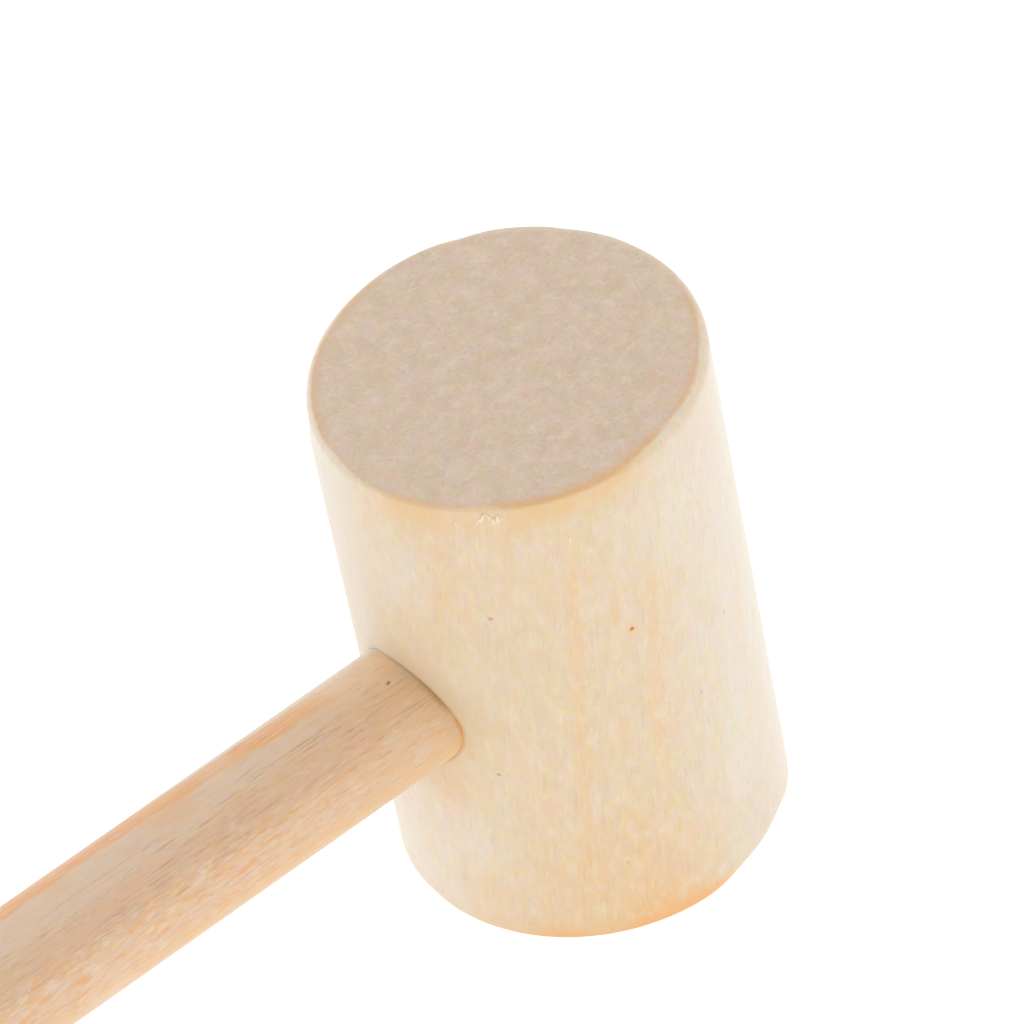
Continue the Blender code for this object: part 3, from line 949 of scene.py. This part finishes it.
# (angle in degrees, height of the root, length, width, lift at the tip, sideways lean), lengths in mm
SLIVERS = (
    (-144.4, 57, 1.5, 0.22, 0.1, 0.1),
    (-145.6, 58, 0.8, 0.16, 0.1, -0.1),
    (-138.7, 57.4, 1.7, 0.28, 0.12, 0.8),
    (-137.4, 57.6, 2, 0.34, 0.16, 0.7),
    (-136.6, 58, 1.4, 0.26, 0.14, 0.1),
    (-135.4, 58.7, 0.8, 0.22, 0.1, 0.2),
    (-134.3, 58.3, 1, 0.3, 0.12, -0.15),
    (-133.3, 57.5, 1.5, 0.36, 0.18, -0.1),
    (-132.4, 57.6, 1.8, 0.42, 0.2, 0.15),
    (-114.2, 53.1, 1.5, 0.3, 0.08, 0.15),
    (-113.6, 53.6, 1.1, 0.18, 0.06, -0.06),
    (22, 57.8, 1.6, 0.22, 0.2, 0.3),
    (24.5, 57.5, 1.9, 0.26, 0.18, -0.4),
    (25.6, 57.7, 1.5, 0.2, 0.14, 0.25),
    (104, 57.9, 1.4, 0.24, 0.2, 0.2),
)
SLIVER_STEPS = 7
SLIVER_ROOT = 0.07 * MM  # how deep a sliver is rooted
SLIVER_THICK = 0.05 * MM


def make_torn_fibres():
    """Thin slivers rooted in the head's side, that curl away from it towards the rim."""
    builder = bmesh.new()
    for degrees, root, length, width, lift, lean in SLIVERS:
        out = compass(degrees)
        aside = Vector((-out.y, out.x, 0.0))
        rings = []
        for step in range(SLIVER_STEPS + 1):
            t = step / SLIVER_STEPS
            lifted = HEAD_RADIUS - SLIVER_ROOT + lift * MM * t**2.2
            middle = out * lifted + aside * (lean * MM * t**1.5)
            middle.z = (root + length * t) * MM
            half = width * MM * (0.5 * math.sin(math.pi * (0.18 + 0.8 * t)) + 0.02)
            thick = SLIVER_THICK * (1.0 - 0.6 * t)
            corners = (aside * half, out * thick, aside * -half, out * -thick)
            rings.append([builder.verts.new(middle + corner) for corner in corners])
        for lower, upper in zip(rings, rings[1:]):
            for i in range(4):
                j = (i + 1) % 4
                builder.faces.new((lower[i], lower[j], upper[j], upper[i]))
        builder.faces.new(reversed(rings[0]))
        builder.faces.new(rings[-1])
    bmesh.ops.recalc_face_normals(builder, faces=builder.faces)
    fibres = object_from(builder, "torn_fibres")
    dress(fibres, torn_fibre(), None, 60)


# ---- Handle ----

HANDLE_STEPS = 160
ENTRY_DEPTH = 0.06 * MM  # how far inside the head's surface the clean part of the handle ends
ENTRY_SHAPING = 10.0 * MM  # within this length of the entry the handle's rings bend to the head's curve
TENON_SHAPING = 15.0 * MM  # from here to the flush end they follow the head's curve
HANDLE_DIP = 0.012 * MM  # mean depth of the hollows that sanding leaves


def flush_x(y):
    """Where the dressed end of the tenon lies, at this distance from the head's axis."""
    return math.sqrt((HEAD_RADIUS - SKIN) ** 2 - y**2)


def shape_handle(builder, radius):
    """Dresses the end flush with the head and gives the side the unevenness of a sanded dowel."""
    for vert in builder.verts:
        x, y, z = vert.co
        r = math.hypot(y, z)
        if r > radius / 2:
            dip = HANDLE_DIP * (1.0 + fractal(1.3 * y / r, 1.3 * z / r, 0.03 * x / MM))
            in_neck = smoothstep(NECK_START, NECK_FULL, x) * smoothstep(4.0 * MM, 0.0, x)
            dip += necking(math.atan2(z, -y)) * in_neck
            y -= y / r * dip
            z -= z / r * dip
        vert.co.y, vert.co.z = y, z
        if abs(x + HEAD_RADIUS) < ENTRY_SHAPING:
            entry = -math.sqrt((HEAD_RADIUS - ENTRY_DEPTH) ** 2 - (y + HANDLE_Y) ** 2)
            vert.co.x += (entry + HEAD_RADIUS) * (1.0 - abs(x + HEAD_RADIUS) / ENTRY_SHAPING)
        if x > TENON_SHAPING:
            share = (x - TENON_SHAPING) / (HEAD_RADIUS - TENON_SHAPING)
            vert.co.x = TENON_SHAPING + share * (flush_x(y + HANDLE_Y) - TENON_SHAPING)


def tapered_plate(name, x_thin, x_thick, thin, thick, half_width, cuts):
    """A plate in the XY plane, centred on the handle's axis, that thickens along +X."""
    builder = bmesh.new()
    bmesh.ops.create_cube(builder, size=2.0)
    across = [e for e in builder.edges if abs(e.verts[0].co.y - e.verts[1].co.y) > 1.0]
    bmesh.ops.subdivide_edges(builder, edges=across, cuts=cuts, use_grid_fill=True)
    for vert in builder.verts:
        at_thick_end = vert.co.x > 0
        vert.co.x = x_thick if at_thick_end else x_thin
        vert.co.y = HANDLE_Y + vert.co.y * half_width
        vert.co.z = HANDLE_Z + vert.co.z * (thick if at_thick_end else thin) / 2
    return object_from(builder, name)


def make_handle():
    radius = HANDLE_RADIUS
    length = HEAD_RADIUS - BUTT_X
    butt = [(r, 0.0) for r in spaced(0.0, radius - BUTT_ROUND, 7)]
    arc = [(radius - BUTT_ROUND + BUTT_ROUND * s, BUTT_ROUND - BUTT_ROUND * c) for s, c in rounding_steps()]
    entry = length - 2 * HEAD_RADIUS
    side = [(radius, z) for z in spaced(BUTT_ROUND, entry, 120) + spaced(entry, length, 50)[1:]]
    end = [(r, length) for r in spaced(radius, 0.0, 12)[1:]]
    builder = spin_profile(butt + arc + side + end, HANDLE_STEPS)
    lay_down = Matrix.Rotation(math.pi / 2, 4, "Y")
    builder.transform(Matrix.Translation((BUTT_X + SKIN, 0.0, 0.0)) @ lay_down)
    shape_handle(builder, radius)
    builder.transform(Matrix.Translation((0.0, HANDLE_Y, HANDLE_Z)))
    bmesh.ops.recalc_face_normals(builder, faces=builder.faces)
    handle = object_from(builder, "mallet_handle")
    over = 2.0 * MM  # the kerf's cutter reaches this far past what it cuts
    slope = (WEDGE_THICK - WEDGE_TIP_THICK) / (HEAD_RADIUS - WEDGE_TIP_X)
    thin = WEDGE_TIP_THICK - over * slope + 2 * KERF_ROOM
    thick = WEDGE_THICK + over * slope + 2 * KERF_ROOM
    ends = WEDGE_TIP_X - over, HEAD_RADIUS + over
    cut(handle, tapered_plate("kerf_cutter", *ends, thin, thick, HANDLE_RADIUS + over, 1))
    dress(handle, handle_wood(), "handle")
    shade_hidden(handle, HANDLE_RADIUS + 0.2 * MM, 0.0)


# ---- Wedge ----

WEDGE_CUTS = 31  # across the wedge's width
WEDGE_SETBACK = 0.05 * MM  # its edges stop this far inside the handle's round side


def make_wedge():
    ends, thicks = (WEDGE_TIP_X, HEAD_RADIUS), (WEDGE_TIP_THICK, WEDGE_THICK)
    wedge = tapered_plate("mallet_wedge", *ends, *thicks, HANDLE_RADIUS, WEDGE_CUTS)
    for vert in wedge.data.vertices:
        reach = math.sqrt(max((HANDLE_RADIUS - WEDGE_SETBACK) ** 2 - (vert.co.z - HANDLE_Z) ** 2, 0.0))
        vert.co.y = HANDLE_Y + (vert.co.y - HANDLE_Y) / HANDLE_RADIUS * reach
        if vert.co.x > HEAD_RADIUS / 2:
            vert.co.x = flush_x(vert.co.y)
    dress(wedge, wedge_wood(), "wedge", 50)


# ---- Floor, light and camera ----

VIEW_AZIMUTH = 31.56  # which way the camera looks, in degrees from +Y towards +X
VIEW_DOWN = 43.33  # how far it looks down, in degrees
VIEW_ROLL = -11.88  # how far it is turned about its own axis, in degrees
VIEW_DISTANCE = 0.8656  # from the camera to the point it aims at
VIEW_AIM = Vector((0.92, 5.71, 35.67)) * MM
LENS = 306.75  # focal length in millimetres
SENSOR = 36.0  # sensor width in millimetres
NEAR, FAR = 0.01, 50.0

FLOOR_HALF = 4.0
FLOOR_GREY = 0.72
FLOOR_GLOW = 0.52  # lifts the floor to plain white without blowing out its light on the mallet
SKY_STRENGTH = 1.05
WHITE = (1.0, 1.0, 1.0, 1.0)


def make_camera():
    azimuth, down = math.radians(VIEW_AZIMUTH), math.radians(VIEW_DOWN)
    level = math.cos(down)
    forward = Vector((math.sin(azimuth) * level, math.cos(azimuth) * level, -math.sin(down)))
    data = bpy.data.cameras.new("camera")
    data.lens = LENS
    data.sensor_width = SENSOR
    data.clip_start = NEAR
    data.clip_end = FAR
    camera = bpy.data.objects.new("camera", data)
    facing = forward.to_track_quat("-Z", "Y").to_matrix().to_4x4()
    roll = Matrix.Rotation(math.radians(VIEW_ROLL), 4, "Z")
    camera.matrix_world = Matrix.Translation(VIEW_AIM - forward * VIEW_DISTANCE) @ facing @ roll
    bpy.context.scene.collection.objects.link(camera)
    bpy.context.scene.camera = camera


def make_floor():
    builder = bmesh.new()
    bmesh.ops.create_grid(builder, x_segments=2, y_segments=2, size=FLOOR_HALF)
    floor = object_from(builder, "floor")
    material = bpy.data.materials.new("floor")
    material.use_nodes = True
    shader = material.node_tree.nodes["Principled BSDF"]
    looks = {"Base Color": (FLOOR_GREY, FLOOR_GREY, FLOOR_GREY, 1.0), "Roughness": 0.9}
    looks |= {"Specular IOR Level": 0.0, "Emission Color": WHITE, "Emission Strength": FLOOR_GLOW}
    for name, value in looks.items():
        shader.inputs[name].default_value = value
    floor.data.materials.append(material)


def make_light():
    """A white surround that lights the mallet evenly."""
    world = bpy.data.worlds.new("studio")
    world.use_nodes = True
    background = world.node_tree.nodes["Background"]
    background.inputs["Color"].default_value = WHITE
    background.inputs["Strength"].default_value = SKY_STRENGTH
    bpy.context.scene.world = world
    bpy.context.scene.view_settings.view_transform = "Standard"


make_camera()
make_floor()
make_light()
make_head()
make_torn_fibres()
make_handle()
make_wedge()
